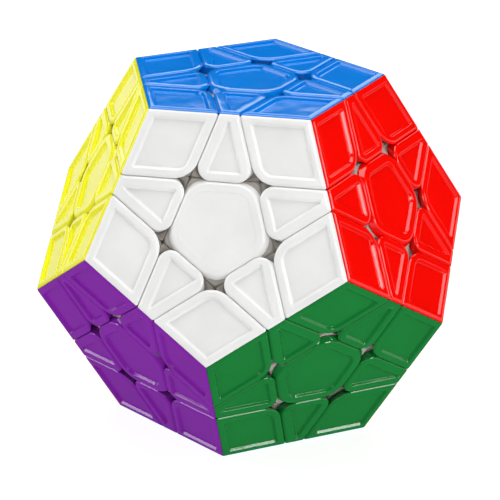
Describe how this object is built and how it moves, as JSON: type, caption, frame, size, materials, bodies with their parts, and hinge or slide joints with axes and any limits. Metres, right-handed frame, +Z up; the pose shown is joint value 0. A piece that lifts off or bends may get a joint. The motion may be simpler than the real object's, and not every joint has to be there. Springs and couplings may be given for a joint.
{
  "type": "dodecahedron twisty puzzle",
  "caption": "Twelve-sided twisty puzzle: corner, edge and centre pieces with hidden feet, held on a twelve-armed core by sprung screws.",
  "frame": {"origin": "middle of the light blue face that the puzzle rests on", "axes": "+Z up through the blue face, -Y out over the white face, +X to the right of someone who looks at the white face"},
  "size_m": [0.0786, 0.0826, 0.0668],
  "materials": {
    "blue_plastic": "glossy moulded ABS, coloured right through",
    "white_plastic": "glossy moulded ABS, coloured right through",
    "red_plastic": "glossy moulded ABS, coloured right through",
    "pink_plastic": "glossy moulded ABS, coloured right through",
    "lime_plastic": "glossy moulded ABS, coloured right through",
    "yellow_plastic": "glossy moulded ABS, coloured right through",
    "green_plastic": "glossy moulded ABS, coloured right through",
    "cream_plastic": "glossy moulded ABS, coloured right through",
    "grey_plastic": "glossy moulded ABS, coloured right through",
    "orange_plastic": "glossy moulded ABS, coloured right through",
    "purple_plastic": "glossy moulded ABS, coloured right through",
    "light_blue_plastic": "glossy moulded ABS, coloured right through",
    "mechanism_plastic": "satin moulded ABS of the hidden feet and the core",
    "steel": "zinc-plated steel of the tension screws, springs and washers"
  },
  "bodies": {
    "frame": {"core": "mechanism_plastic", "screw_blue": "steel", "spring_blue": "steel", "centre_white": "white_plastic", "centre_red": "red_plastic", "centre_pink": "pink_plastic", "centre_lime": "lime_plastic", "centre_yellow": "yellow_plastic", "screw_green": "steel", "spring_green": "steel", "centre_cream": "cream_plastic", "centre_grey": "grey_plastic", "screw_orange": "steel", "spring_orange": "steel", "centre_purple": "purple_plastic", "centre_light_blue": "light_blue_plastic", "edge_white_red": "mechanism_plastic", "edge_white_yellow": "mechanism_plastic", "edge_white_purple": "mechanism_plastic", "edge_lime_yellow": "mechanism_plastic", "edge_yellow_purple": "mechanism_plastic", "edge_purple_light_blue": "mechanism_plastic", "corner_white_yellow_purple": "mechanism_plastic", "cluster_red_pink_cream": "mechanism_plastic", "cluster_pink_lime_grey": "mechanism_plastic", "cluster_pink_cream_grey": "mechanism_plastic", "cluster_cream_grey_light_blue": "mechanism_plastic"},
    "blue_layer": {"centre_blue": "blue_plastic", "edge_blue_white": "mechanism_plastic", "edge_blue_red": "mechanism_plastic", "edge_blue_pink": "mechanism_plastic", "edge_blue_lime": "mechanism_plastic", "edge_blue_yellow": "mechanism_plastic", "corner_blue_white_red": "mechanism_plastic", "corner_blue_white_yellow": "mechanism_plastic", "corner_blue_red_pink": "mechanism_plastic", "corner_blue_pink_lime": "mechanism_plastic", "corner_blue_lime_yellow": "mechanism_plastic"},
    "green_layer": {"centre_green": "green_plastic", "edge_white_green": "mechanism_plastic", "edge_red_green": "mechanism_plastic", "edge_green_cream": "mechanism_plastic", "edge_green_purple": "mechanism_plastic", "edge_green_light_blue": "mechanism_plastic", "corner_white_red_green": "mechanism_plastic", "corner_white_green_purple": "mechanism_plastic", "corner_red_green_cream": "mechanism_plastic", "corner_green_cream_light_blue": "mechanism_plastic", "corner_green_purple_light_blue": "mechanism_plastic"},
    "orange_layer": {"centre_orange": "orange_plastic", "edge_lime_orange": "mechanism_plastic", "edge_yellow_orange": "mechanism_plastic", "edge_grey_orange": "mechanism_plastic", "edge_orange_purple": "mechanism_plastic", "edge_orange_light_blue": "mechanism_plastic", "corner_lime_yellow_orange": "mechanism_plastic", "corner_lime_grey_orange": "mechanism_plastic", "corner_yellow_orange_purple": "mechanism_plastic", "corner_grey_orange_light_blue": "mechanism_plastic", "corner_orange_purple_light_blue": "mechanism_plastic"}
  },
  "joints": [
    {"name": "blue_face_turn", "type": "hinge", "parent": "frame", "child": "blue_layer", "pos_m": [0, 0, 0.03341], "axis": [0, 0, 1], "continuous": true},
    {"name": "green_face_turn", "type": "hinge", "parent": "frame", "child": "green_layer", "pos_m": [0, 0, 0.03341], "axis": [0.5257, -0.7236, -0.4472], "continuous": true},
    {"name": "orange_face_turn", "type": "hinge", "parent": "frame", "child": "orange_layer", "pos_m": [0, 0, 0.03341], "axis": [-0.8507, 0.2764, -0.4472], "continuous": true}
  ]
}
